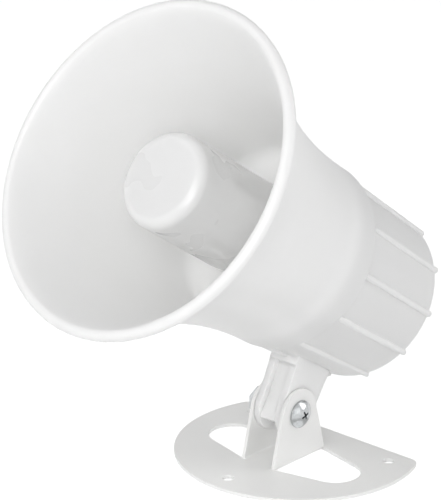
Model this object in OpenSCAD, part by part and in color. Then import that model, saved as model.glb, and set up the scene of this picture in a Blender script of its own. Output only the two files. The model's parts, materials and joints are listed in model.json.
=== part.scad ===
// Electronic siren: a re-entrant horn with its driver and tone board, tilting on a bent steel bracket.
// Millimetres. The mounting face of the bracket plate is z = 0, the pivot axis runs along X above
// the origin, the bell faces -Y and Z is up. The horn is drawn about its own axis and then tilted.

/* [Bell] */
// outside diameter over the mouth
bell_mouth_d = 130; // [90:220]
// from the rear edge of the skirt to the mouth
bell_length = 99.5; // [70:160]
// outside diameter of the skirt
skirt_d = 78; // [60:110]
// moulded wall thickness of the bell
bell_wall = 2.4; // [1.8:0.1:3.5]
// how late the flare opens, as the power of the distance along the axis
flare_power = 2.15; // [1.6:0.05:3]
// radius of the bead around the mouth
lip_r = 2.3; // [1:0.1:3]
// from the rear edge of the skirt to the back of the bulkhead
bulkhead_depth = 10.5; // [8:16]
// thickness of the bulkhead
bulkhead_t = 4; // [3:0.5:6]

/* [Reflector] */
// outside diameter of the reflector cup
cup_d = 38.6; // [28:50]
// how far its face sits behind the mouth
cup_recess = 13.5; // [5:25]
// length of the cup from its face to its open rear edge
cup_length = 56; // [35:70]
// rounding of the edge of its face
cup_edge_r = 5; // [2:8]
// wall of the cup and of its webs
cup_wall = 2; // [1.5:0.1:3]
// outside diameter of the throat tube
tube_d = 22; // [16:26]
// bore of the throat tube at the driver
throat_d = 14; // [10:18]

/* [Rear housing] */
// outside diameter where the housing meets the skirt
housing_front_d = 74; // [56:100]
// outside diameter at the rear edge
housing_rear_d = 70.4; // [54:98]
// visible length of the housing
housing_length = 51.5; // [40:80]
// moulded wall thickness of the housing
housing_wall = 2.4; // [1.8:0.1:3.5]
// number of ribs around it
rib_count = 12; // [8:24]
// width of a rib
rib_w = 2.6; // [1.6:0.1:4]
// how far a rib stands out
rib_h = 1.4; // [0.6:0.1:2.5]

/* [Pivot] */
// tilt of the horn axis above the mounting face in the drawn position
rest_tilt = 33.5; // [0:80]
// height of the pivot axis above the mounting face
pivot_height = 20.8; // [16:30]
// distance from the pivot axis to the horn axis
axis_offset = 56; // [45:80]
// from the pivot axis forward to the rear edge of the skirt
skirt_ahead = 31.5; // [20:40]
// width of the pedestal between the ears
pedestal_w = 14; // [10:20]
// thickness of each cheek of the pedestal
cheek_t = 3; // [2:0.1:4]
// radius of the rounded foot of the cheeks
foot_r = 10; // [8:0.1:13]
// how far the web lies back from the edges of the cheeks
web_inset = 2.8; // [1.5:0.1:4]
// diameter of the pivot bolt
bolt_d = 6; // [5:8]
// diameter of its pan head
bolt_head_d = 11.4; // [9:14]
// height of its pan head
bolt_head_h = 3.2; // [2.5:0.1:5]

/* [Bracket] */
// sheet thickness
sheet_t = 1.5; // [1:0.1:2.5]
// radius of the round edge of the plate
plate_r = 50; // [40:70]
// how far the centre of that round edge lies behind the pivot
plate_back = 8.5; // [0:15]
// how far the straight rear edge lies behind the pivot
chord_back = 29.7; // [22:40]
// rounding of the two rear corners
corner_r = 4; // [2:8]
// diameter of the three screw holes
screw_hole_d = 4.5; // [3.5:0.1:6]
// how far the front screw hole lies ahead of the pivot
front_hole_y = 32.6; // [25:40]
// half the distance between the two rear screw holes
rear_hole_x = 36.6; // [28:44]
// how far the rear screw holes lie behind the pivot
rear_hole_y = 22; // [15:28]
// half the width of an ear at its foot
ear_half_w = 15.3; // [11:20]
// radius of the round top of an ear
ear_top_r = 10.2; // [8:13]
// play between an ear and the pedestal on each side
ear_play = 0.1; // [0.05:0.05:0.3]
// inside bend radius
bend_r = 0.8; // [0.5:0.1:2]

/* [Driver] */
// outside diameter of the driver frame
frame_d = 52; // [44:58]
// depth of the driver frame
frame_t = 8; // [6:12]
// outside diameter of the magnet ring and the top plate
magnet_d = 40; // [34:46]
// thickness of the magnet ring
magnet_t = 10; // [6:14]
// thickness of the top plate and of the yoke
plate_t = 4; // [3:0.5:6]
// diameter of the pole
pole_d = 23.4; // [18:28]
// width of the air gap around the pole
air_gap = 1.4; // [1:0.1:2]

/* [Rear end] */
// thickness of the rear cover
cover_t = 2.5; // [2:0.1:4]
// how far the cover lies inside the rear edge of the housing
cover_recess = 1.2; // [0:0.1:3]
// diameter of the cable hole through the grommet
cable_d = 5; // [3:0.5:8]
// diameter of the circuit board
board_d = 50; // [40:56]
// thickness of the circuit board
board_t = 1.6; // [1:0.1:2]
// height of the board above the cover
board_stand = 11; // [6:14]

/* [Hidden] */
eps = 0.01;
seat = 0.05;            // play of pieces that are seated in one another
turn_play = 0.06;       // radial running play of the bolt in the pedestal
skirt_r = skirt_d/2;
mouth_r = bell_mouth_d/2;
mouth_z = skirt_ahead + bell_length;
bulk_z = skirt_ahead + bulkhead_depth;
bowl_z = bulk_z + bulkhead_t;
bowl_r = 8;             // rounding where the bulkhead turns into the wall
skirt_edge_r = 1.2;     // rounding of the rear edge of the skirt
flare_z = skirt_ahead + skirt_edge_r;
flare_end_z = mouth_z - lip_r;
flare_end_r = mouth_r - lip_r - 0.4;
steps = 13;
spigot_r = skirt_r - bell_wall - 0.1;
spigot_l = 5.5;
flange_t = 3;
housing_z = skirt_ahead - housing_length;
front_r = housing_front_d/2;
rear_r = housing_rear_d/2;
rib_slope = atan((front_r - rear_r)/housing_length);
self_tap_r = 1.25;
screw_r = 1.5;
clear_r = 1.7;
screw_head_r = 2.8;
screw_head_h = 2;
head_play = 0.3;        // room around a sunk screw head
boss_wall = 2;
boss_l = 12;
housing_screw_at = front_r - housing_wall - screw_head_r - head_play;
magnet_r = magnet_d/2;
driver_screw_at = (frame_d/2 + magnet_r + seat)/2;
cover_z = housing_z + cover_recess;
cover_r = rear_r - housing_wall - 0.1;
boss_r = self_tap_r + boss_wall;
cover_screw_at = cover_r - boss_r - 0.6;
board_screw_at = board_d/2 - 5;
post_r = 3.2;
board_z = cover_z + cover_t + board_stand;
parts_z = board_z + board_t;
cup_face_z = mouth_z - cup_recess;
cup_rear_z = cup_face_z - cup_length;
cup_r = cup_d/2;
tube_r = tube_d/2;
tube_end_z = cup_face_z - 17;
gasket_t = 1;
frame_z = bulk_z - gasket_t;
coil_room = 3.6;                     // room for the dome in front of the top plate
top_z = frame_z - frame_t + 3;       // front face of the top plate
edge_t = 0.6;
dome_r = 26;
cone_r = magnet_r - 1.5;             // outside radius of the diaphragm
clamp_w = 1.2;                       // width of its rim that the frame presses on
pocket_h = 1.5;
flange_r = tube_r + 6;
flange_h = 2.5;
mag_z = top_z - plate_t;
yoke_z = mag_z - magnet_t;
gap_r = pole_d/2 + air_gap;
ear_in = pedestal_w/2 + ear_play;
ear_out = ear_in + sheet_t;
outer_bend = bend_r + sheet_t;
fold_x = ear_out - outer_bend;
bend_length = 90*PI/180*(bend_r + 0.4*sheet_t);
window_x = fold_x + bend_length + pivot_height - outer_bend;
ped_top = axis_offset - 35;
pad_h = 4.2;
washer_t = 1.5;
nut_t = 4;
nut_flats = 10;
bolt_end = ear_out + washer_t + nut_t + 1.6;
recess_r = 2.7;
recess_w = 1.1;
recess_h = 2;
web_end = sqrt(pow(foot_r, 2) - pow(foot_r - web_inset, 2)) - 0.25;
chip = [19, 6.4, 3.3];
chip_pitch = 2.54;
cap_r = 5;
cap_h = 12.4;
cap_at = [-16, 0];
part_w = 10;
part_l = 9;
tab_l = 12.5;
part_y = board_d/2 - 18;
cable_y = -12;
$fa = 6;
$fs = 0.6;

function flare(z) = skirt_r + (flare_end_r - skirt_r)
                    * pow(max(0, z - flare_z)/(flare_end_z - flare_z), flare_power);
function arc(cx, cy, r, a0, a1, n) = [for (i = [0:n])
    [cx + r*cos(a0 + (a1 - a0)*i/n), cy + r*sin(a0 + (a1 - a0)*i/n)]];

// horn coordinates: Z forward along the horn axis, Y away from the bracket
module in_horn() {
    translate([0, 0, pivot_height]) rotate([90 - rest_tilt, 0, 0])
        translate([0, axis_offset, 0]) children();
}

module ring(r_out, r_in, z0, z1) {
    translate([0, 0, z0]) difference() {
        cylinder(r = r_out, h = z1 - z0);
        translate([0, 0, -1]) cylinder(r = r_in, h = z1 - z0 + 2);
    }
}

module around(n, r, a0) {
    for (i = [0:n - 1]) rotate([0, 0, a0 + 360*i/n]) translate([r, 0, 0]) children();
}

// self-tapping screw seen from its head: head from z = -head height to 0, shank forward
module small_screw(shank) {
    translate([0, 0, -screw_head_h]) difference() {
        intersection() {
            cylinder(r = screw_head_r, h = screw_head_h);
            translate([0, 0, 4.2]) sphere(r = 4.2);
        }
        for (a = [0, 90]) rotate([0, 0, a]) translate([-1.6, -0.35, -1]) cube([3.2, 0.7, 2]);
    }
    cylinder(r = self_tap_r, h = shank);
}

// ---- bracket ----

// outline of the plate: a circle cut by the straight rear edge, both corners rounded
module plate_outline() {
    cy = chord_back - plate_back - corner_r;
    cx = sqrt(pow(plate_r - corner_r, 2) - cy*cy);
    a = atan2(cy, cx);
    translate([0, plate_back]) union() {
        difference() {
            circle(r = plate_r);
            translate([-plate_r - 1, chord_back - plate_back])
                square([2*plate_r + 2, plate_r]);
            for (s = [0, 1]) mirror([s, 0]) polygon([[cx, cy],
                [cx + 14*cos(a), cy + 14*sin(a)],
                [cx + 20*cos(a/2 + 45), cy + 20*sin(a/2 + 45)], [cx, cy + 14]]);
        }
        for (s = [-1, 1]) translate([s*cx, cy]) circle(r = corner_r);
    }
}

// flat blank of one ear: straight sides that run into the round top, foot at x = 0
module ear_blank(top, r, foot) {
    a = asin((ear_half_w - r*cos(14))/(foot + top) < 0.9 ? (ear_half_w - r)/(foot + top) : 0.2);
    translate([top, 0]) circle(r = r);
    polygon([[-foot, -ear_half_w], [top + r*sin(a), -r*cos(a)],
             [top + r*sin(a), r*cos(a)], [-foot, ear_half_w]]);
}

module ear() {
    difference() {
        union() {
            translate([ear_in, 0, 0]) rotate([90, 0, 90]) linear_extrude(height = sheet_t)
                rotate([0, 0, 90]) translate([outer_bend, 0])
                    ear_blank(pivot_height - outer_bend, ear_top_r, 0);
            // bend between the plate and the ear
            translate([fold_x, ear_half_w, outer_bend]) rotate([90, 0, 0])
                linear_extrude(height = 2*ear_half_w) intersection() {
                    difference() { circle(r = outer_bend); circle(r = bend_r); }
                    translate([0, -outer_bend - 1]) square(outer_bend + 1);
                }
        }
        translate([ear_in - 1, 0, pivot_height]) rotate([0, 90, 0])
            cylinder(r = bolt_d/2 + 0.1, h = sheet_t + 2);
    }
}

module mounting_bracket() {
    color([0.93, 0.93, 0.92]) {
        linear_extrude(height = sheet_t) difference() {
            plate_outline();
            for (s = [0, 1]) mirror([s, 0]) translate([fold_x, 0])
                ear_blank(window_x - fold_x, ear_top_r + 0.1, 0);
            translate([0, -front_hole_y]) circle(d = screw_hole_d);
            for (s = [-1, 1]) translate([s*rear_hole_x, rear_hole_y]) circle(d = screw_hole_d);
        }
        for (s = [0, 1]) mirror([s, 0, 0]) ear();
    }
}

module pivot_bolt() {
    color([0.78, 0.79, 0.8]) translate([0, 0, pivot_height]) rotate([0, 90, 0]) {
        translate([0, 0, -bolt_end]) cylinder(r = bolt_d/2, h = bolt_end + ear_out + 1);
        difference() {
            translate([0, 0, ear_out]) intersection() {
                cylinder(r = bolt_head_d/2, h = bolt_head_h);
                translate([0, 0, bolt_head_h - 8]) sphere(r = 8);
            }
            for (a = [20, 110]) translate([0, 0, ear_out + bolt_head_h - recess_h]) rotate([90, 0, a])
                translate([0, 0, -recess_w/2]) linear_extrude(height = recess_w)
                    polygon([[-1, 0], [1, 0], [recess_r, recess_h], [recess_r, recess_h + 1],
                             [-recess_r, recess_h + 1], [-recess_r, recess_h]]);
        }
    }
}

module lock_washer() {
    color([0.7, 0.71, 0.72]) translate([-ear_out - washer_t, 0, pivot_height]) rotate([0, 90, 0])
        difference() {
            ring(5.6, bolt_d/2 + 0.1, 0, washer_t);
            rotate([0, 0, 70]) translate([0, -0.6, -1]) cube([8, 1.2, washer_t + 2]);
        }
}

module pivot_nut() {
    color([0.72, 0.73, 0.74])
        translate([-ear_out - washer_t - nut_t, 0, pivot_height]) rotate([0, 90, 0])
        difference() {
            cylinder(r = nut_flats/2/cos(30), h = nut_t, $fn = 6);
            translate([0, 0, -1]) cylinder(r = bolt_d/2 + 0.02, h = nut_t + 2);
        }
}

// ---- horn ----

module horn_bell() {
    color([0.94, 0.94, 0.93]) in_horn() difference() {
        union() {
            rotate_extrude() polygon(concat(
                // outside, rear to front
                [[spigot_r + 0.1, skirt_ahead]],
                arc(skirt_r - skirt_edge_r, skirt_ahead + skirt_edge_r, skirt_edge_r, -90, -15, 4),
                [for (i = [0:steps]) let (z = flare_z + (flare_end_z - flare_z)*i/steps)
                    [flare(z), z]],
                // bead around the mouth
                arc(mouth_r - lip_r, mouth_z - lip_r, lip_r, -40, 140, 9),
                // inside, front to rear
                [for (i = [steps - 1:-1:0])
                    let (z = bowl_z + bowl_r + (flare_end_z - bowl_z - bowl_r)*i/steps)
                    [flare(z) - bell_wall, z]],
                arc(flare(bowl_z + bowl_r) - bell_wall - bowl_r, bowl_z + bowl_r, bowl_r,
                    -15, -90, 5),
                [[9, bowl_z], [9, bulk_z], [spigot_r + 0.1, bulk_z]]));
            // bosses for the housing screws
            around(4, housing_screw_at, 45)
                translate([0, 0, skirt_ahead + spigot_l]) cylinder(r = boss_r, h = bulkhead_depth - spigot_l + 1);
        }
        around(4, housing_screw_at, 45) translate([0, 0, skirt_ahead + spigot_l - 1])
            cylinder(r = self_tap_r, h = bulkhead_depth - spigot_l + 3);
        around(3, driver_screw_at, 90) translate([0, 0, bulk_z - 1])
            cylinder(r = self_tap_r, h = bulkhead_t);
    }
}

module throat_tube() {
    color([0.9, 0.9, 0.89]) in_horn() difference() {
        union() {
            translate([0, 0, bowl_z]) cylinder(r = flange_r, h = flange_h);
            translate([0, 0, bulk_z + 0.5]) cylinder(r = 9 - seat, h = 6);
            translate([0, 0, bowl_z + 1]) cylinder(r = tube_r, h = tube_end_z - bowl_z - 1);
        }
        translate([0, 0, bulk_z - 1])
            cylinder(r1 = throat_d/2, r2 = tube_r - 1.5, h = tube_end_z - bulk_z + 2);
    }
}

module cup_outline(r, l, e) {
    square([r - e, l]);
    square([r, l - e]);
    translate([r - e, l - e]) circle(r = e);
}

module reflector_cup() {
    hub_l = 20;
    hub_z = tube_end_z - hub_l - 3;
    color([0.93, 0.93, 0.92]) in_horn() union() {
        translate([0, 0, cup_rear_z]) rotate_extrude() difference() {
            intersection() {
                cup_outline(cup_r, cup_length, cup_edge_r);
                square([cup_r + 1, cup_length + 1]);
            }
            translate([0, -1]) intersection() {
                cup_outline(cup_r - cup_wall, cup_length + 1 - cup_wall, cup_edge_r - 1.5);
                square([cup_r + 1, cup_length + 1]);
            }
        }
        ring(tube_r + 1.8, tube_r + seat, hub_z, hub_z + hub_l);
        around(3, 0, 30) translate([tube_r + 1, -cup_wall/2, hub_z])
            cube([cup_r - cup_wall - tube_r - 0.5, cup_wall, hub_l]);
    }
}

// side outline of the pedestal: forward along x, towards the horn along y, pivot at the origin
module pedestal_outline(inset, end, top) {
    front = foot_r - inset;
    polygon([[-front, -end], [front, -end], [front, 0.02*top], [front + 0.3, 0.4*top],
             [front + 1.3, 0.72*top], [front + 1.8, top], [-front - 0.4, top]]);
}

module rear_housing() {
    color([0.94, 0.94, 0.93]) in_horn() difference() {
        union() {
            // ribbed shell with the spigot and the flange inside its front end
            rotate_extrude() polygon([
                [rear_r - housing_wall, housing_z], [rear_r - 0.5, housing_z],
                [rear_r, housing_z + 0.5],
                [front_r, skirt_ahead - seat], [spigot_r, skirt_ahead - seat],
                [spigot_r, skirt_ahead + spigot_l], [frame_d/2 + 1, skirt_ahead + spigot_l],
                [frame_d/2 + 1, skirt_ahead + spigot_l - flange_t],
                [front_r - housing_wall, skirt_ahead + spigot_l - flange_t - 3],
                [rear_r - housing_wall, cover_z + cover_t]]);
            for (i = [0:rib_count - 1]) rotate([0, 0, 90 + 360*i/rib_count])
                translate([rear_r, 0, housing_z]) rotate([0, rib_slope, 0])
                    linear_extrude(height = (housing_length - seat)/cos(rib_slope)) {
                        translate([-1.5, -rib_w/2]) square([rib_h - rib_w/2 + 1.5, rib_w]);
                        translate([rib_h - rib_w/2, 0]) circle(r = rib_w/2);
                    }
            // pedestal: two cheeks, the web between them and the pad they stand on
            translate([0, -axis_offset, 0]) rotate([0, -90, 0]) {
                for (s = [-1, 1]) translate([0, 0, s*(pedestal_w - cheek_t)/2 - cheek_t/2])
                    linear_extrude(height = cheek_t) {
                        circle(r = foot_r);
                        pedestal_outline(0, 0, ped_top);
                    }
                translate([0, 0, -pedestal_w/2 + 1]) linear_extrude(height = pedestal_w - 2)
                    pedestal_outline(web_inset, web_end, ped_top);
            }
            translate([-pedestal_w/2, -axis_offset + ped_top - pad_h, -foot_r - 0.4])
                cube([pedestal_w, pad_h, 2*foot_r + 2.3]);
            // bosses for the cover screws
            around(4, cover_screw_at, 0) translate([0, 0, cover_z + cover_t]) {
                cylinder(r = boss_r, h = boss_l);
                translate([0, -2, 0]) cube([rear_r - housing_wall - cover_screw_at + 0.7, 4, boss_l]);
            }
        }
        // pivot bore
        translate([-pedestal_w/2 - 1, -axis_offset, 0]) rotate([0, 90, 0])
            cylinder(r = bolt_d/2 + turn_play, h = pedestal_w + 2);
        around(4, housing_screw_at, 45) translate([0, 0, skirt_ahead])
            cylinder(r = clear_r, h = spigot_l + 1);
        around(4, housing_screw_at, 45) translate([0, 0, skirt_ahead - 5])
            cylinder(r = screw_head_r + head_play, h = 5 + spigot_l - flange_t);
        around(4, cover_screw_at, 0) translate([0, 0, cover_z])
            cylinder(r = self_tap_r, h = boss_l);
    }
}

module housing_screws() {
    color([0.75, 0.76, 0.77]) in_horn() around(4, housing_screw_at, 45)
        translate([0, 0, skirt_ahead + spigot_l - flange_t]) small_screw(flange_t + 5);
}

module rear_cover() {
    color([0.92, 0.92, 0.91]) in_horn() difference() {
        union() {
            translate([0, 0, cover_z]) cylinder(r = cover_r, h = cover_t);
            around(3, board_screw_at, 90) translate([0, 0, cover_z + 1])
                cylinder(r = post_r, h = cover_t + board_stand - 1);
        }
        around(4, cover_screw_at, 0) translate([0, 0, cover_z - 1])
            cylinder(r = clear_r, h = cover_t + 2);
        around(3, board_screw_at, 90) translate([0, 0, cover_z + cover_t + 1])
            cylinder(r = self_tap_r, h = board_stand);
        translate([0, cable_y, cover_z - 1]) cylinder(r = cable_d/2 + 2, h = cover_t + 2);
    }
}

module cover_screws() {
    color([0.75, 0.76, 0.77]) in_horn() around(4, cover_screw_at, 0)
        translate([0, 0, cover_z]) small_screw(cover_t + 8);
}

module cable_grommet() {
    r = cable_d/2;
    color([0.12, 0.12, 0.12]) in_horn() translate([0, cable_y, cover_z]) rotate_extrude()
        polygon([[r, -1.6], [r + 3.2, -1.6], [r + 3.6, -1.2], [r + 3.6, 0], [r + 2 - seat, 0],
                 [r + 2 - seat, cover_t], [r + 3.6, cover_t], [r + 3.2, cover_t + 1.6],
                 [r, cover_t + 1.6]]);
}

module driver_gasket() {
    color([0.15, 0.15, 0.15]) in_horn() difference() {
        ring(frame_d/2 - 0.5, 10, frame_z, bulk_z);
        around(3, driver_screw_at, 90) translate([0, 0, frame_z - 1]) cylinder(r = clear_r, h = 3);
    }
}

module driver_frame() {
    z0 = frame_z - frame_t;
    color([0.2, 0.2, 0.21]) in_horn() difference() {
        translate([0, 0, z0]) cylinder(r = frame_d/2, h = frame_t);
        translate([0, 0, z0 - 1]) cylinder(r = throat_d/2, h = frame_t + 2);
        // seat of the top plate and room for the dome
        translate([0, 0, z0 - 1]) cylinder(r = magnet_r + seat, h = top_z - z0 + 1);
        translate([0, 0, top_z - 1]) cylinder(r = cone_r + 0.1, h = edge_t + 1);
        translate([0, 0, top_z - 1]) cylinder(r = cone_r - clamp_w, h = pocket_h + 1);
        translate([0, 0, top_z + pocket_h - eps])
            cylinder(r1 = cone_r - clamp_w, r2 = throat_d/2, h = coil_room - pocket_h + eps);
        around(3, driver_screw_at, 90) translate([0, 0, z0 - 1])
            cylinder(r = clear_r, h = frame_t + 2);
    }
}

module driver_screws() {
    z0 = frame_z - frame_t;
    color([0.75, 0.76, 0.77]) in_horn() around(3, driver_screw_at, 90)
        translate([0, 0, z0]) small_screw(frame_t + gasket_t + 2.8);
}

module diaphragm() {
    a1 = asin((pole_d/2 - 0.6)/dome_r);
    color([0.75, 0.55, 0.3]) in_horn() translate([0, 0, top_z]) rotate_extrude() polygon(concat(
        [[cone_r, 0], [cone_r, edge_t], [cone_r - clamp_w - 0.1, edge_t],
         [pole_d/2 + 1.6, edge_t + 0.3]],
        [for (i = [0:5]) let (a = a1 - a1*i/5)
            [dome_r*sin(a), dome_r*(cos(a) - cos(a1)) + edge_t + 0.3]],
        [for (i = [0:5]) let (a = a1*i/5) [dome_r*sin(a), dome_r*(cos(a) - cos(a1)) + 0.5]],
        [[pole_d/2 + 1.6, 0.4], [cone_r - clamp_w - 0.6, 0.35], [cone_r - clamp_w, 0]]));
}

module voice_coil() {
    color([0.72, 0.4, 0.2]) in_horn()
        ring(pole_d/2 + 1, pole_d/2 + 0.4, mag_z - 1, top_z + 0.4);
}

module top_plate() {
    color([0.7, 0.7, 0.72]) in_horn() ring(magnet_r, gap_r, mag_z, top_z);
}

module magnet_ring() {
    color([0.16, 0.16, 0.17]) in_horn() ring(magnet_r, gap_r + 2, yoke_z, mag_z);
}

module yoke() {
    color([0.7, 0.7, 0.72]) in_horn() {
        translate([0, 0, yoke_z - plate_t]) cylinder(r = magnet_r - 1, h = plate_t);
        translate([0, 0, yoke_z - 1]) cylinder(r = pole_d/2, h = magnet_t + plate_t + 1);
    }
}

module circuit_board() {
    color([0.1, 0.4, 0.2]) in_horn() translate([0, 0, board_z]) difference() {
        cylinder(r = board_d/2, h = board_t);
        around(3, board_screw_at, 90) translate([0, 0, -1]) cylinder(r = clear_r, h = board_t + 2);
        translate([0, cable_y, -1]) cylinder(r = 3, h = board_t + 2);
    }
}

module board_screws() {
    color([0.75, 0.76, 0.77]) in_horn() around(3, board_screw_at, 90)
        translate([0, 0, parts_z]) rotate([180, 0, 0]) small_screw(board_t + 8);
}

module tone_chip() {
    color([0.1, 0.1, 0.1]) in_horn() {
        translate([-chip.x/2, -chip.y/2 + 0.6, parts_z + 0.5]) cube(chip);
        for (i = [-3:3], s = [-1, 1]) translate([chip_pitch*i - 0.25,
            0.6 + s*(chip.y/2 + 0.25) - 0.3, parts_z]) cube([0.5, 0.6, 2.2]);
    }
}

module capacitor() {
    color([0.12, 0.14, 0.3]) in_horn() translate([cap_at.x, cap_at.y, parts_z]) rotate_extrude()
        polygon([[0, 0], [cap_r, 0], [cap_r, 1.2], [cap_r - 0.4, 1.5], [cap_r - 0.4, 1.8],
                 [cap_r, 2.1], [cap_r, cap_h - 0.4], [cap_r - 0.5, cap_h], [0, cap_h]]);
}

module power_transistors() {
    color([0.13, 0.13, 0.14]) in_horn() for (s = [-1, 1])
        translate([s*(part_w/2 + 4) - part_w/2, part_y, parts_z]) difference() {
            union() {
                translate([0, 0, 1.3]) cube([part_w, part_l, 3.2]);
                cube([part_w, tab_l, 1.31]);
            }
            translate([part_w/2, tab_l - 1.6, -1]) cylinder(r = 1.8, h = 4);
        }
}

mounting_bracket();
pivot_bolt();
lock_washer();
pivot_nut();
horn_bell();
throat_tube();
reflector_cup();
rear_housing();
housing_screws();
rear_cover();
cover_screws();
cable_grommet();
driver_gasket();
driver_frame();
driver_screws();
diaphragm();
voice_coil();
top_plate();
magnet_ring();
yoke();
circuit_board();
board_screws();
tone_chip();
capacitor();
power_transistors();
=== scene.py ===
# %% [markdown]
# # Electronic siren
# A white re-entrant horn on a bent steel bracket. The rigid pieces come from a CAD model that is
# loaded as a fixed frame. This lesson dresses them: it sets the camera, gives every piece the
# material of the real one, rebuilds the mouldings whose smooth curves matter most, and lights
# the whole on a plain white table.

# %% Load the frame
import json
import math

import bmesh
import bpy
from mathutils import Matrix, Vector


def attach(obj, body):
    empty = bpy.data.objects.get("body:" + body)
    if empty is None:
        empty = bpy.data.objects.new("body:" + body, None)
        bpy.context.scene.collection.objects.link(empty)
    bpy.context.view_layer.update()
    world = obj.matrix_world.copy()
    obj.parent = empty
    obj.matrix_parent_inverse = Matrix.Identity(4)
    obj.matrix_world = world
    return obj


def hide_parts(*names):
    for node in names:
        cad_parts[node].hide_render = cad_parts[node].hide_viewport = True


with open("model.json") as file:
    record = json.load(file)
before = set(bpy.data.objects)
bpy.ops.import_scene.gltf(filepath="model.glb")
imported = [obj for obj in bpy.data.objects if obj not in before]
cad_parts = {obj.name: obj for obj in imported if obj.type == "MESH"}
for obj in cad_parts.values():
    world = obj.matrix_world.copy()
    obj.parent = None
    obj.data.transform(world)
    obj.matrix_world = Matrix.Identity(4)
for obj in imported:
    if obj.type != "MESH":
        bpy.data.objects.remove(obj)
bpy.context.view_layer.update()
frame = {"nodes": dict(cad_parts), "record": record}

MM = 0.001

# %% [markdown]
# ## Camera
# The photograph looks down on the siren from its right front with a long lens. The camera's
# place was worked out from the mouth's ellipse, the plate's edge and its screw holes. A long
# focal length keeps the circles almost free of perspective, as in a product photo.

# %% Camera
CAMERA_AZIMUTH = 43.169
CAMERA_ELEVATION = 19.159
CAMERA_ROLL = -0.390
FOCAL_PIXELS = 2121.936
OFFSET = Vector((25.274, -82.768, -855.073)) * MM   # the origin as the camera sees it
FRAME_HEIGHT = 500


def camera_axes(azimuth, elevation, roll):
    a, e, r = (math.radians(v) for v in (azimuth, elevation, roll))
    back = Vector((math.sin(a) * math.cos(e), -math.cos(a) * math.cos(e), math.sin(e)))
    right = Vector((math.cos(a), math.sin(a), 0))
    up = back.cross(right)
    return (right * math.cos(r) + up * math.sin(r), up * math.cos(r) - right * math.sin(r), back)


right, up, back = camera_axes(CAMERA_AZIMUTH, CAMERA_ELEVATION, CAMERA_ROLL)
turn = Matrix((right, up, back)).transposed()
camera_data = bpy.data.cameras.new("photo_camera")
camera_data.sensor_width = 36
camera_data.sensor_fit = "VERTICAL"
camera_data.sensor_height = 36
camera_data.lens = FOCAL_PIXELS * 36 / FRAME_HEIGHT
camera_data.clip_end = 10
camera = bpy.data.objects.new("photo_camera", camera_data)
bpy.context.scene.collection.objects.link(camera)
camera.matrix_world = Matrix.Translation(-(turn @ OFFSET)) @ turn.to_4x4()
bpy.context.scene.camera = camera
print("camera at", [round(v, 3) for v in camera.location], "lens", round(camera_data.lens, 1))

# %% [markdown]
# ## Materials
# Every colour is written as the hex value that a painter would pick, and one function turns it
# to the linear numbers that the renderer needs. A second small function adds any node with its
# settings and links, so that each material below reads as a short list.

# %% Colour and node helpers
def colour(code):
    channels = [int(code[i:i + 2], 16) / 255 for i in (1, 3, 5)]
    return [c / 12.92 if c <= 0.04045 else ((c + 0.055) / 1.055) ** 2.4 for c in channels] + [1]


def add(material, kind, links=(), **settings):
    """Adds one node. settings are attributes or input values; links join other nodes' outputs."""
    node = material.node_tree.nodes.new(kind)
    for name, value in settings.items():
        if hasattr(node, name):
            setattr(node, name, value)
        else:
            node.inputs[name.replace("_", " ")].default_value = value
    for target, (source, output) in dict(links).items():
        material.node_tree.links.new(source.outputs[output], node.inputs[target])
    return node


def new_material(name, **principled):
    material = bpy.data.materials.new(name)
    material.use_nodes = True
    shader = material.node_tree.nodes["Principled BSDF"]
    for key, value in principled.items():
        shader.inputs[key.replace("_", " ")].default_value = value
    return material, shader


def join(material, source, output, target, socket):
    material.node_tree.links.new(source.outputs[output], target.inputs[socket])


def per_metre(millimetres):
    """Noise scale whose features are about this wide on the object."""
    return 1 / (millimetres * MM)


# %% [markdown]
# ### Moulded ABS
# The bell, cup and housing are injection-moulded white ABS. The mould is blasted, so the skin is
# satin with a very fine grain, and slow flow in the mould leaves patches that are a shade warmer
# or duller. Two noises do this: a wide one shifts colour and roughness, a fine one is the grain.

# %% White ABS
def moulded(name, light, dark, roughness, grain_mm, grain, patch_mm=18, depth_mm=0):
    material, shader = new_material(name, Roughness=roughness, IOR=1.53)
    if depth_mm:
        shader.inputs["Subsurface Weight"].default_value = 1.0
        shader.inputs["Subsurface Radius"].default_value = (1, 1, 1)
        shader.inputs["Subsurface Scale"].default_value = depth_mm * MM
    where = add(material, "ShaderNodeTexCoord")
    patch = add(material, "ShaderNodeTexNoise", {"Vector": (where, "Object")},
                Scale=per_metre(patch_mm), Detail=2.0)
    tint = add(material, "ShaderNodeMix", {0: (patch, "Fac")}, data_type="RGBA")
    tint.inputs[6].default_value = colour(light)
    tint.inputs[7].default_value = colour(dark)
    join(material, tint, 2, shader, "Base Color")
    dull = add(material, "ShaderNodeMapRange", {"Value": (patch, "Fac")})
    dull.inputs["To Min"].default_value = roughness - 0.04
    dull.inputs["To Max"].default_value = roughness + 0.04
    join(material, dull, "Result", shader, "Roughness")
    fine = add(material, "ShaderNodeTexNoise", {"Vector": (where, "Object")},
               Scale=per_metre(grain_mm), Detail=3.0)
    bump = add(material, "ShaderNodeBump", {"Height": (fine, "Fac")}, Strength=grain, Distance=0.0001)
    join(material, bump, "Normal", shader, "Normal")
    return material


abs_bell = moulded("abs_moulded_white", "#F8F8F7", "#F5F5F4", 0.36, 0.7, 0.12, depth_mm=4)
abs_housing = moulded("abs_moulded_white_housing", "#F8F8F7", "#F5F5F4", 0.38, 0.7, 0.14, depth_mm=4)
# The cup's white is a shade brighter than the bell's. That extra brightness is painted light, which lifts
# the shade that falls deep in the mouth.
abs_cup_white_and_painted_light = moulded("abs_moulded_white_cup", "#FAFAF9", "#F8F8F7", 0.28, 0.6, 0.06, depth_mm=4)
abs_inner = moulded("abs_moulded_white_inner", "#E6E6E4", "#E0E0DE", 0.45, 0.8, 0.1)
print("moulded plastics:", abs_bell.name, abs_housing.name, abs_cup_white_and_painted_light.name, abs_inner.name)

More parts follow.
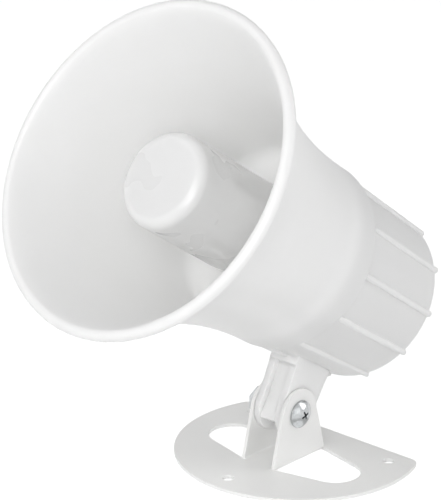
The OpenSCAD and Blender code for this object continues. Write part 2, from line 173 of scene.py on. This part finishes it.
# %% [markdown]
# ### Powder coat
# The bracket is sheet steel under a baked powder coat. The powder melts into a skin with a
# shallow orange peel about a millimetre wide, a little glossier than the plastic.

# %% Powder coat
powder_coat = moulded("powder_coat_white", "#F7F7F6", "#F4F4F3", 0.34, 1.0, 0.16, 12)

# %% [markdown]
# ### Plated steel
# Screws, nut and washers are steel under thin bright zinc: a real metal, so metallic is 1 and the
# colour is its reflection. Fine wear scratches the shine.

# %% Zinc-plated steel and other metals
def metal(name, light, dark, roughness, streak_mm, bump_strength):
    material, shader = new_material(name, Metallic=1.0, Roughness=roughness)
    where = add(material, "ShaderNodeTexCoord")
    wear = add(material, "ShaderNodeTexNoise", {"Vector": (where, "Object")},
               Scale=per_metre(streak_mm), Detail=4.0, Roughness=0.6)
    tint = add(material, "ShaderNodeMix", {0: (wear, "Fac")}, data_type="RGBA")
    tint.inputs[6].default_value = colour(light)
    tint.inputs[7].default_value = colour(dark)
    join(material, tint, 2, shader, "Base Color")
    rough = add(material, "ShaderNodeMapRange", {"Value": (wear, "Fac")})
    rough.inputs["To Min"].default_value = roughness * 0.7
    rough.inputs["To Max"].default_value = roughness * 1.4
    join(material, rough, "Result", shader, "Roughness")
    bump = add(material, "ShaderNodeBump", {"Height": (wear, "Fac")},
               Strength=bump_strength, Distance=0.0001)
    join(material, bump, "Normal", shader, "Normal")
    return material


bright_zinc = metal("steel_zinc_bright", "#C9CBCC", "#9FA2A4", 0.2, 1.5, 0.1)
dull_zinc = metal("steel_zinc_dull", "#B4B6B8", "#8C8F91", 0.32, 1.2, 0.15)
nut_zinc = metal("steel_zinc_nut", "#D0D2D3", "#B2B5B7", 0.34, 1.2, 0.12)
spring_steel = metal("steel_spring_plated", "#A0A2A4", "#7E8183", 0.35, 1.0, 0.15)
copper_wire = metal("copper_enamelled", "#B5623A", "#8F4526", 0.35, 0.4, 0.3)
soft_iron = metal("steel_plated_motor", "#A8A9AB", "#8E8F92", 0.35, 2.0, 0.1)

# %% [markdown]
# ### Inner pieces
# Rubber, ferrite, glass-epoxy board, moulded epoxy and resin-stiffened cloth are all dull and
# fine-grained, so the moulded recipe with other colours and grains suits them.

# %% Inner materials
rubber = moulded("rubber_black", "#191919", "#222222", 0.7, 0.5, 0.3, 6)
foam = moulded("foam_rubber_black", "#1D1D1D", "#262626", 0.85, 0.8, 0.6, 4)
nylon = moulded("nylon_black", "#1C1C1D", "#242425", 0.5, 0.6, 0.2, 8)
ferrite = moulded("ferrite_ground", "#2A2A2C", "#343437", 0.6, 0.5, 0.4, 5)
epoxy = moulded("epoxy_moulded_black", "#17171A", "#1F1F22", 0.55, 0.4, 0.3, 4)
sleeve = moulded("pvc_sleeve_blue", "#16203A", "#1C2846", 0.3, 1.0, 0.05, 6)
board_green = moulded("board_solder_mask_green", "#145C2E", "#1B6A38", 0.3, 0.5, 0.15, 5)
cloth = moulded("cloth_phenolic", "#8E5A2C", "#7A4A22", 0.6, 0.35, 0.6, 3)

# %% Give every CAD node its material
FINISH = {
    "mounting_bracket": powder_coat, "pivot_bolt": bright_zinc, "lock_washer": spring_steel,
    "pivot_nut": nut_zinc, "horn_bell": abs_bell, "throat_tube": abs_inner,
    "reflector_cup": abs_cup_white_and_painted_light, "rear_housing": abs_housing, "housing_screws": dull_zinc,
    "rear_cover": abs_housing, "cover_screws": dull_zinc, "cable_grommet": rubber,
    "driver_gasket": foam, "driver_frame": nylon, "driver_screws": dull_zinc,
    "diaphragm": cloth, "voice_coil": copper_wire, "top_plate": soft_iron,
    "magnet_ring": ferrite, "yoke": soft_iron, "circuit_board": board_green,
    "board_screws": dull_zinc, "tone_chip": epoxy, "capacitor": sleeve,
    "power_transistors": epoxy,
}
for name, material in FINISH.items():
    mesh = frame["nodes"][name].data
    mesh.materials.clear()
    mesh.materials.append(material)
print(len(FINISH), "CAD nodes finished")

# %% [markdown]
# ## Places on the siren
# The horn was drawn about its own axis and then tilted, and the bolt lies along X through the
# pivot. Two matrices hold these places. A piece is modelled in millimetres where it is easiest,
# and its mesh is then carried to its place, so that the object itself stays at the origin.

# %% Places
REST_TILT = 33.5
PIVOT_HEIGHT = 20.8
AXIS_OFFSET = 56.0
MILLIMETRES = Matrix.Scale(MM, 4)
HORN = (MILLIMETRES @ Matrix.Translation((0, 0, PIVOT_HEIGHT))
        @ Matrix.Rotation(math.radians(90 - REST_TILT), 4, "X")
        @ Matrix.Translation((0, AXIS_OFFSET, 0)))
HORN_BODY = "horn"
BRACKET_BODY = "bracket"


def place_piece(shape, name, place, node, sharp=35):
    """Carries a shape to its place and makes it the piece that stands for a CAD node."""
    bmesh.ops.remove_doubles(shape, verts=shape.verts, dist=0.0005 if place is HORN else 1e-6)
    bmesh.ops.transform(shape, matrix=place, verts=shape.verts)
    bmesh.ops.recalc_face_normals(shape, faces=shape.faces)
    mesh = bpy.data.meshes.new(name)
    shape.to_mesh(mesh)
    shape.free()
    mesh.shade_smooth()
    mesh.set_sharp_from_angle(angle=math.radians(sharp))
    mesh.materials.append(FINISH[node])
    piece = bpy.data.objects.new(name, mesh)
    bpy.context.scene.collection.objects.link(piece)
    record = frame["record"]
    body = next(b for b, nodes in record["behaviour"]["bodies"].items() if node in nodes)
    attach(piece, body)
    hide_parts(node)
    print(name, len(mesh.polygons), "faces")
    return piece


# %% [markdown]
# ## Bell
# The bell is one moulding: a skirt that fits over the housing, a flare that opens late, and a
# bead that keeps the thin mouth round. It is a body of revolution, so a closed outline of its
# wall is spun round the axis. The flare is a power curve of the distance, and forty points along
# it leave no facets in the long highlights, which is what the eye finds first on white plastic.

# %% Outline tools
def arc(centre_r, centre_z, radius, start, end, count):
    """Points on a circle from one angle to another, as (distance from the axis, height)."""
    turns = [math.radians(start + (end - start) * i / count) for i in range(count + 1)]
    return [(centre_r + radius * math.cos(a), centre_z + radius * math.sin(a)) for a in turns]


def spin_outline(outline, steps=128, shape=None):
    """Spins a closed outline round the axis into a closed skin."""
    shape = shape or bmesh.new()
    verts = [shape.verts.new((r, 0, z)) for r, z in outline]
    edges = [shape.edges.new((verts[i - 1], verts[i])) for i in range(len(verts))]
    bmesh.ops.spin(shape, geom=verts + edges, cent=(0, 0, 0), axis=(0, 0, 1),
                   angle=math.tau, steps=steps, use_merge=True)
    return shape


# %% Bell
SKIRT_R, SKIRT_Z, SKIRT_EDGE_R = 39.0, 31.5, 1.8
MOUTH_R, MOUTH_Z, LIP_R = 65.0, 131.0, 2.3
BELL_WALL, FLARE_POWER = 2.4, 2.15
BULK_Z, BOWL_Z, BOWL_R = 42.0, 46.0, 8.0
FLARE_Z = SKIRT_Z + SKIRT_EDGE_R
FLARE_END_Z, FLARE_END_R = MOUTH_Z - LIP_R, MOUTH_R - LIP_R - 0.4


def flare(z):
    late = max(0.0, z - FLARE_Z) / (FLARE_END_Z - FLARE_Z)
    return SKIRT_R + (FLARE_END_R - SKIRT_R) * late ** FLARE_POWER


def heights(low, high, count):
    return [low + (high - low) * i / count for i in range(count + 1)]


spigot_r = SKIRT_R - BELL_WALL
outside = [(flare(z), z) for z in heights(FLARE_Z, FLARE_END_Z, 44)]
inside = [(flare(z) - BELL_WALL, z) for z in heights(BOWL_Z + BOWL_R, FLARE_END_Z, 40)]
bell_outline = ([(spigot_r, SKIRT_Z)]
                + arc(SKIRT_R - SKIRT_EDGE_R, FLARE_Z, SKIRT_EDGE_R, -90, -8, 6)
                + outside
                + arc(MOUTH_R - LIP_R, FLARE_END_Z, LIP_R, -40, 140, 18)
                + inside[-2::-1]
                + arc(inside[0][0] - BOWL_R, BOWL_Z + BOWL_R, BOWL_R, -10, -90, 9)
                + [(9, BOWL_Z), (9, BULK_Z), (spigot_r, BULK_Z)])
bell = spin_outline(bell_outline, 144)
for corner in (45, 135, 225, 315):
    bmesh.ops.create_cone(bell, cap_ends=True, segments=32, radius1=3.25, radius2=3.25, depth=5.5,
                          matrix=Matrix.Rotation(math.radians(corner), 4, "Z")
                          @ Matrix.Translation((31.5, 0, 39.75)))
place_piece(bell, "bell_moulding", HORN, "horn_bell")

# %% [markdown]
# ## Reflector cup
# The round nose in the mouth is a cup that turns the sound from the throat tube back into the
# bell. Its side tapers a little, so that it leaves the mould. Its face is slightly crowned,
# because a flat moulded face would sink in the middle, and its edge is well rounded. A hub on
# three webs inside it holds the tube.

# %% Reflector cup
CUP_R, CUP_WALL, CUP_FACE_Z, CUP_REAR_Z = 19.3, 2.0, 119.0, 61.5
CUP_DRAFT, CUP_EDGE_R, CUP_CROWN = 0.6, 4.2, 0.9
HUB_Z, HUB_LENGTH, TUBE_R = 77.5, 20.0, 11.0


def crowned_end(radius, edge, top):
    """Rounded edge and crowned face of a cup, from its side to its axis."""
    flat = radius - edge
    big = (flat ** 2 + CUP_CROWN ** 2) / (2 * CUP_CROWN)
    edge_points = arc(flat, top - CUP_CROWN - edge, edge, 0, 84, 10)
    face = [(flat * k, top - big + math.sqrt(big ** 2 - (flat * k) ** 2))
            for k in (1, 0.85, 0.7, 0.55, 0.4, 0.2, 0)]
    return edge_points + face


inner_end = crowned_end(CUP_R - CUP_DRAFT - CUP_WALL, CUP_EDGE_R - 1.5, CUP_FACE_Z - CUP_WALL)
cup_outline = ([(CUP_R - CUP_WALL, CUP_REAR_Z + 0.3), (CUP_R - CUP_WALL + 0.3, CUP_REAR_Z),
                (CUP_R - 0.3, CUP_REAR_Z), (CUP_R, CUP_REAR_Z + 0.3)]
               + crowned_end(CUP_R - CUP_DRAFT, CUP_EDGE_R, CUP_FACE_Z) + inner_end[::-1])
cup = spin_outline(cup_outline, 96)
spin_outline([(TUBE_R + 1.8, HUB_Z), (TUBE_R + 1.8, HUB_Z + HUB_LENGTH),
              (TUBE_R + 0.05, HUB_Z + HUB_LENGTH), (TUBE_R + 0.05, HUB_Z)], 64, cup)
for web in (30, 150, 270):
    bmesh.ops.create_cube(cup, size=1, matrix=Matrix.Rotation(math.radians(web), 4, "Z")
                          @ Matrix.Translation((TUBE_R + 3.9, 0, HUB_Z + HUB_LENGTH / 2))
                          @ Matrix.Diagonal((5.8, CUP_WALL, HUB_LENGTH, 1)))
place_piece(cup, "reflector_moulding", HORN, "reflector_cup")

# %% [markdown]
# ## Soft edges
# No real edge is razor sharp. A mould leaves a small radius, and powder coat flows back from an
# edge. These thin lines of light are what make a part look made. The CAD meshes are loose
# triangles, so a copy is merged, its flat faces are joined again, and only its outer edges get a
# narrow bevel. Weighted normals keep the large faces flat beside the bevels. The part keeps its
# shape to a few tenths of a millimetre.

# %% Soft edges
def soften(node, width, segments=2, least=24):
    shape = bmesh.new()
    shape.from_mesh(frame["nodes"][node].data)
    bmesh.ops.remove_doubles(shape, verts=shape.verts, dist=2e-6)
    bmesh.ops.dissolve_limit(shape, angle_limit=math.radians(0.6), use_dissolve_boundaries=False,
                             verts=shape.verts, edges=shape.edges)
    bmesh.ops.triangulate(shape, faces=[f for f in shape.faces if len(f.verts) > 200])
    edges = [e for e in shape.edges if len(e.link_faces) == 2 and e.is_convex
             and e.calc_face_angle(0) > math.radians(least)]
    bmesh.ops.bevel(shape, geom=edges, affect="EDGES", offset=width * MM, offset_type="OFFSET",
                    segments=segments, profile=0.5, material=-1, clamp_overlap=False)
    return shape


for node, width in (("mounting_bracket", 0.2), ("rear_housing", 0.25), ("rear_cover", 0.2),
                    ("pivot_nut", 0.3), ("lock_washer", 0.15)):
    softened = place_piece(soften(node, width), node + "_finished", Matrix.Identity(4), node)
    flat = softened.modifiers.new("flat_faces", "WEIGHTED_NORMAL")
    flat.keep_sharp = True

# %% [markdown]
# ## Bolt
# The M6 bolt is cold-headed: a wide, low pan head with a cross driven into it, and a rolled
# thread. Shank and head are one spun outline. The cross is a cutter of two tapered bars, taken out
# of the head with a boolean. The thread is a V outline spun round the bolt with a lift at each
# step, one millimetre a turn, and it shows where the end stands out of the nut.

# %% Bolt
HEAD_R, HEAD_TOP, HEAD_DOME_R, HEAD_SEAT = 5.7, 11.8, 8.0, 8.6
SHANK_R, THREAD_ROOT_R, BOLT_END, THREAD_START, THREAD_PITCH = 3.0, 2.5, -15.7, -13.8, 1.0
CROSS_LENGTH, CROSS_WIDTH, CROSS_DEPTH, CROSS_TAPER, CROSS_TURN = 5.6, 1.15, 1.9, 0.4, 20
PIVOT = (MILLIMETRES @ Matrix.Translation((0, 0, PIVOT_HEIGHT))
         @ Matrix.Rotation(math.radians(90), 4, "Y"))


def dome_height(r):
    return HEAD_TOP - HEAD_DOME_R + math.sqrt(HEAD_DOME_R ** 2 - r ** 2)


def cut_cross(shape):
    """Takes the cross recess out of a head with a boolean, and returns the new shape."""
    cutter = bmesh.new()
    for turn_by in (CROSS_TURN, CROSS_TURN + 90):
        bar = bmesh.ops.create_cube(
            cutter, size=1, matrix=Matrix.Rotation(math.radians(turn_by), 4, "Z")
            @ Matrix.Translation((0, 0, HEAD_TOP)) @ Matrix.Diagonal(
                (CROSS_LENGTH, CROSS_WIDTH, 2 * CROSS_DEPTH, 1)))
        low = [v for v in bar["verts"] if v.co.z < HEAD_TOP]
        bmesh.ops.scale(cutter, vec=(CROSS_TAPER, CROSS_TAPER, 1), verts=low)
    objects = []
    for name, source in (("head", shape), ("cross_cutter", cutter)):
        mesh = bpy.data.meshes.new(name)
        bmesh.ops.recalc_face_normals(source, faces=source.faces)
        source.to_mesh(mesh)
        source.free()
        objects.append(bpy.data.objects.new(name, mesh))
        bpy.context.scene.collection.objects.link(objects[-1])
    head, tool = objects
    cut = head.modifiers.new("cross", "BOOLEAN")
    cut.operation, cut.solver, cut.use_self, cut.object = "DIFFERENCE", "EXACT", True, tool
    result = bmesh.new()
    result.from_object(head, bpy.context.evaluated_depsgraph_get())
    for item in objects:
        bpy.data.objects.remove(item)
    return result


bolt_outline = ([(0, BOLT_END), (2.1, BOLT_END), (THREAD_ROOT_R, BOLT_END + 0.4),
                 (THREAD_ROOT_R, THREAD_START - 0.1), (SHANK_R, THREAD_START + 0.3),
                 (SHANK_R, HEAD_SEAT - 1), (SHANK_R, HEAD_SEAT), (HEAD_R - 0.25, HEAD_SEAT)]
                + arc(HEAD_R - 0.25, HEAD_SEAT + 0.25, 0.25, -60, 0, 3)
                + [(HEAD_R, dome_height(HEAD_R) - 0.35)]
                + [(r, dome_height(r)) for r in (5.6, 5.3, 4.9, 4.4, 3.8, 3.1, 2.3, 1.5, 0.7, 0)])
bolt = cut_cross(spin_outline(bolt_outline, 72))
thread = [(THREAD_ROOT_R - 0.1, -0.45), (SHANK_R, -0.08), (SHANK_R, 0.08), (THREAD_ROOT_R - 0.1, 0.45)]
rings = [bolt.verts.new((r, 0, z + BOLT_END + 0.5)) for r, z in thread]
ring_edges = [bolt.edges.new((rings[i - 1], rings[i])) for i in range(4)]
bmesh.ops.spin(bolt, geom=rings + ring_edges, cent=(0, 0, 0), axis=(0, 0, 1),
               dvec=(0, 0, THREAD_PITCH / 36), angle=math.tau * 1.5, steps=54)
bmesh.ops.holes_fill(bolt, edges=[e for e in bolt.edges if e.is_boundary], sides=4)
place_piece(bolt, "pivot_bolt_threaded", PIVOT, "pivot_bolt", sharp=28)

# %% [markdown]
# ## Table and light
# The siren stands on a white table in front of a white sweep. The camera must see pure white
# there, yet no extra light may fall on the siren. So the world and the table add white only for
# what the camera sees and what gloss and glass mirror. The table is also a plain white surface
# that the lamps light, so it sends light up under the bell and still shows the siren's shadow.

# %% Who looks
def seen_directly(material):
    """1 for camera, mirror and glass rays, 0 for the rays that light the scene."""
    paths = add(material, "ShaderNodeLightPath")
    first = add(material, "ShaderNodeMath", {0: (paths, "Is Camera Ray"), 1: (paths, "Is Glossy Ray")},
                operation="MAXIMUM")
    return add(material, "ShaderNodeMath", {0: (first, 0), 1: (paths, "Is Transmission Ray")},
               operation="MAXIMUM")


# %% World
WORLD_LIGHT = 0.24
world = bpy.data.worlds.new("studio")
world.use_nodes = True
bpy.context.scene.world = world
world.node_tree.nodes.clear()
shown = add(world, "ShaderNodeBackground", Color=(1, 1, 1, 1), Strength=1.0)
lighting = add(world, "ShaderNodeBackground", Color=(1, 1, 1, 1), Strength=WORLD_LIGHT)
chosen = add(world, "ShaderNodeMixShader", {0: (seen_directly(world), 0), 1: (lighting, 0), 2: (shown, 0)})
add(world, "ShaderNodeOutputWorld", {"Surface": (chosen, 0)})
print("world lights the siren at", WORLD_LIGHT)

# %% Lamps
def soft_box(name, place, aim, size, watts):
    data = bpy.data.lights.new(name, "AREA")
    data.shape = "SQUARE"
    data.size = size
    data.energy = watts
    lamp = bpy.data.objects.new(name, data)
    bpy.context.scene.collection.objects.link(lamp)
    lamp.location = place
    lamp.rotation_euler = (Vector(aim) - Vector(place)).to_track_quat("-Z", "Y").to_euler()
    return lamp


soft_box("front_key", (0.85, -1.15, 0.6), (0, 0, 0.09), 0.6, 7.5)
soft_box("mouth_fill", (0, -1.2, 0.9), (0, 0, 0.09), 0.6, 5.2)
soft_box("right_side", (1.3, -0.15, 0.3), (0, 0, 0.09), 0.8, 1.5)
soft_box("back_right", (0.9, 0.9, 0.6), (0, 0, 0.09), 0.8, 4.4)
soft_box("left_high", (-0.8, -0.5, 1.1), (0, 0, 0.09), 0.8, 1.7)
soft_box("left_low", (-0.6, -1.3, 0.12), (0, 0, 0.09), 0.6, 0.8)

# %% Table
TABLE_GLOW = 0.62        # white added for the camera; the shadow stays a little darker than 1
table_shape = bmesh.new()
bmesh.ops.create_grid(table_shape, x_segments=1, y_segments=1, size=6,
                      matrix=Matrix.Translation((0, 0, -0.0002)))
table_mesh = bpy.data.meshes.new("table")
table_shape.to_mesh(table_mesh)
table_shape.free()
table = bpy.data.objects.new("table", table_mesh)
bpy.context.scene.collection.objects.link(table)
table_white, table_shader = new_material("paper_white_matt", Roughness=0.9)
table_shader.inputs["Base Color"].default_value = colour("#F0F0F0")
glow_level = add(table_white, "ShaderNodeMath", {0: (seen_directly(table_white), 0)},
                 operation="MULTIPLY")
glow_level.inputs[1].default_value = TABLE_GLOW
glow = add(table_white, "ShaderNodeEmission", {"Strength": (glow_level, 0)}, Color=(1, 1, 1, 1))
both = add(table_white, "ShaderNodeAddShader", {0: (table_shader, 0), 1: (glow, 0)})
join(table_white, both, 0, table_white.node_tree.nodes["Material Output"], "Surface")
table_mesh.materials.append(table_white)

# %% Finish
bpy.context.scene.view_settings.view_transform = "Standard"
